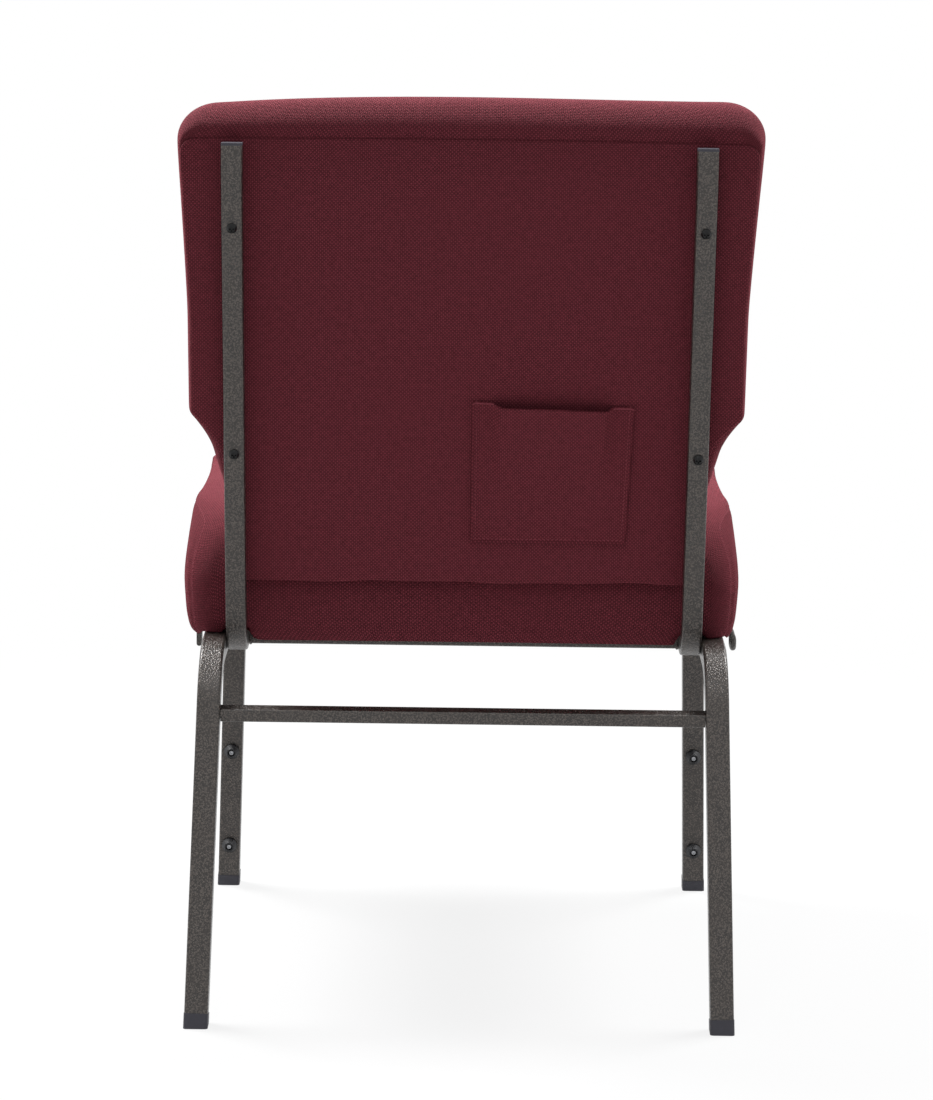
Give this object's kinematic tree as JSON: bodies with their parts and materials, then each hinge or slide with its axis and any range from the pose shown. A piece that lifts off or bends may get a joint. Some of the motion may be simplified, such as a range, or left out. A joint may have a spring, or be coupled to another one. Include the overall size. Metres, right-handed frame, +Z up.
{
  "type": "stacking choir chair",
  "caption": "Stackable choir chair with a bent square-tube frame, upholstered seat and back, a card pocket on the rear of the back and ganging parts on the sides.",
  "frame": {"origin": "on the floor under the middle of the chair: half way between the left and right sides and half way between the front of the seat and the back of the rear feet", "axes": "+Z is up, the chair faces -Y, +X is towards the left hand of the person who sits in it"},
  "size_m": [0.532, 0.602, 0.8572],
  "materials": {
    "frame_paint": "hammered vein powder coat",
    "cap_plastic": "fine moulded texture",
    "bumper_rubber": "matte",
    "cover_cloth": "basket weave",
    "foam": "moulded foam",
    "plywood": "bare sanded plywood",
    "dust_cloth": "non-woven",
    "black_screw": "black oxide",
    "zinc_steel": "zinc plated"
  },
  "bodies": {
    "root": {"leg_frame_left": "frame_paint", "leg_frame_right": "frame_paint", "back_tube_left": "frame_paint", "back_tube_right": "frame_paint", "rear_cross_brace": "frame_paint", "front_cross_rail": "frame_paint", "rear_cross_rail": "frame_paint", "foot_cap_front_left": "cap_plastic", "foot_cap_front_right": "cap_plastic", "foot_cap_rear_left": "cap_plastic", "foot_cap_rear_right": "cap_plastic", "upright_plug_left": "cap_plastic", "upright_plug_right": "cap_plastic", "rail_plug_left": "cap_plastic", "rail_plug_right": "cap_plastic", "bumper_low_left": "bumper_rubber", "bumper_low_right": "bumper_rubber", "bumper_high_left": "bumper_rubber", "bumper_high_right": "bumper_rubber", "bumper_screws": "zinc_steel", "back_board": "plywood", "back_foam": "foam", "back_cover": "cover_cloth", "back_rear_panel": "cover_cloth", "card_pocket": "cover_cloth", "back_screws": "black_screw", "back_tee_nuts": "zinc_steel", "seat_board": "plywood", "seat_foam": "foam", "seat_cover": "cover_cloth", "seat_dust_cover": "dust_cloth", "seat_screws": "black_screw", "seat_tee_nuts": "zinc_steel", "ganging_hook": "frame_paint", "ganging_loop": "frame_paint"}
  },
  "joints": []
}
